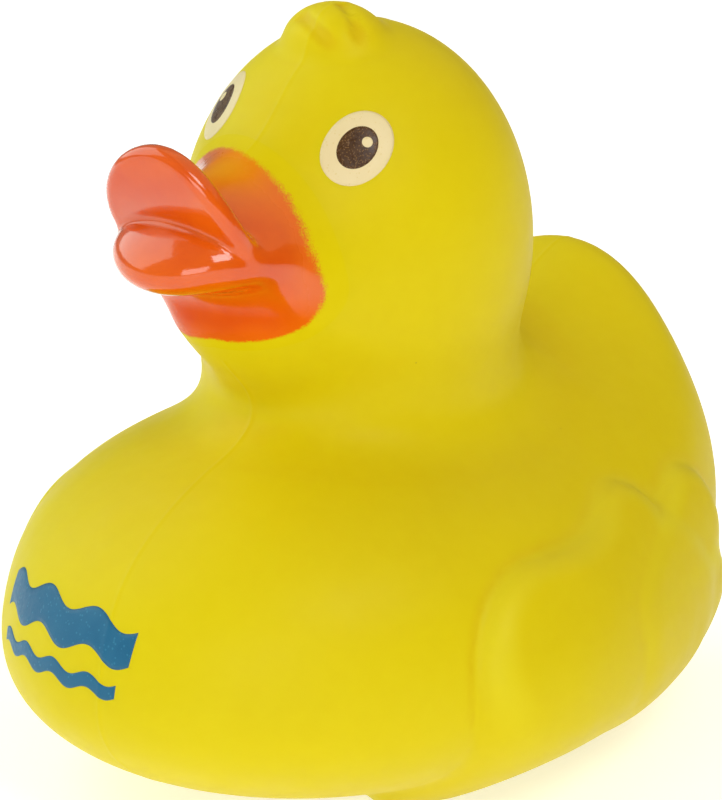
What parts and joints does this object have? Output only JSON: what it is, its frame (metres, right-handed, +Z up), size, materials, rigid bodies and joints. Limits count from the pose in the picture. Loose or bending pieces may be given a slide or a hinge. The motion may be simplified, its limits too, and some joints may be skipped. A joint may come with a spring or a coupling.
{
  "type": "squeaky bath duck",
  "caption": "Hollow soft-vinyl bath duck with an upturned sprayed bill, printed eyes, raised wings and a reed squeaker pressed into its flat base.",
  "frame": {"origin": "centre of the duck's footprint, on the surface it stands on", "axes": "+Z up, -Y the way the bill points, +X the duck's own left side"},
  "size_m": [0.0672, 0.0842, 0.0758],
  "materials": {
    "yellow_vinyl": "satin",
    "orange_paint": "gloss",
    "cream_ink": "satin",
    "brown_ink": "satin",
    "blue_ink": "satin",
    "white_plastic": "satin",
    "reed_film": "gloss"
  },
  "bodies": {
    "duck": {"body_shell": "yellow_vinyl", "bill_paint": "orange_paint", "eye_white_left": "cream_ink", "eye_white_right": "cream_ink", "iris_left": "brown_ink", "iris_right": "brown_ink", "catchlight_left": "cream_ink", "catchlight_right": "cream_ink", "print_wave_upper": "blue_ink", "print_wave_lower": "blue_ink", "squeaker_cup": "white_plastic", "reed_seat": "white_plastic", "reed_clip": "white_plastic"},
    "reed_tongue": {"reed": "reed_film"}
  },
  "joints": [
    {"name": "reed_flex", "type": "hinge", "parent": "duck", "child": "reed_tongue", "pos_m": [0, -0.003, 0.0075], "axis": [0, -1, 0], "range_deg": [0, 12], "stiffness_Nm_per_rad": 0.00002}
  ]
}
